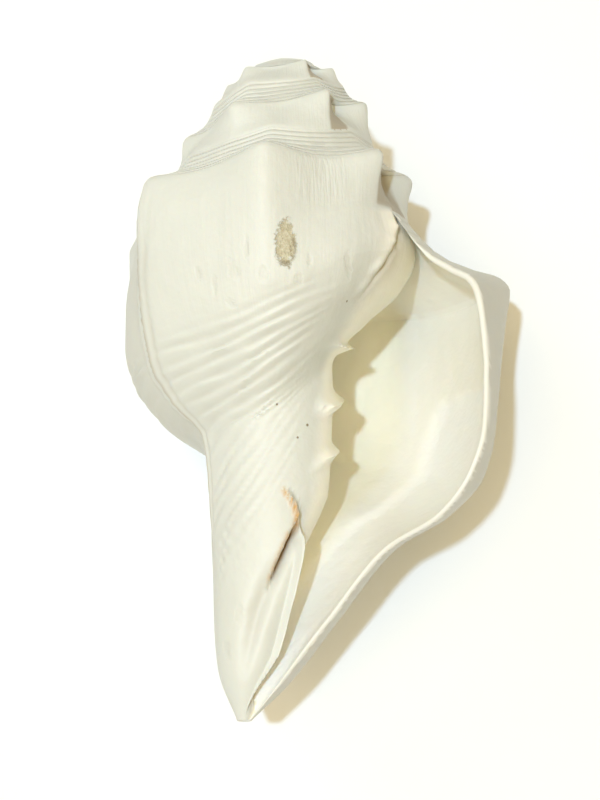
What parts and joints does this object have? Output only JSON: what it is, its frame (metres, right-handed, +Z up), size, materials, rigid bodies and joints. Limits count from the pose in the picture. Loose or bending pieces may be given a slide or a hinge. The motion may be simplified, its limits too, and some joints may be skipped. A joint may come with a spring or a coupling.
{
  "type": "conch shell",
  "caption": "Large white right-handed sea snail shell with a knobbed spire, a wide lip, three pillar folds and an open canal, lying on its back with the opening up.",
  "frame": {"origin": "centre of the box's floor, on the surface the shell lies on", "axes": "+Y from the canal's end towards the apex, +Z up out of the opening, +X to the lip's side"},
  "size_m": [0.142, 0.2464, 0.1186],
  "materials": {
    "shell": "off-white shell, smooth and slightly porcelain-like, cream inside"
  },
  "bodies": {
    "root": {"shell": "shell"}
  },
  "joints": []
}
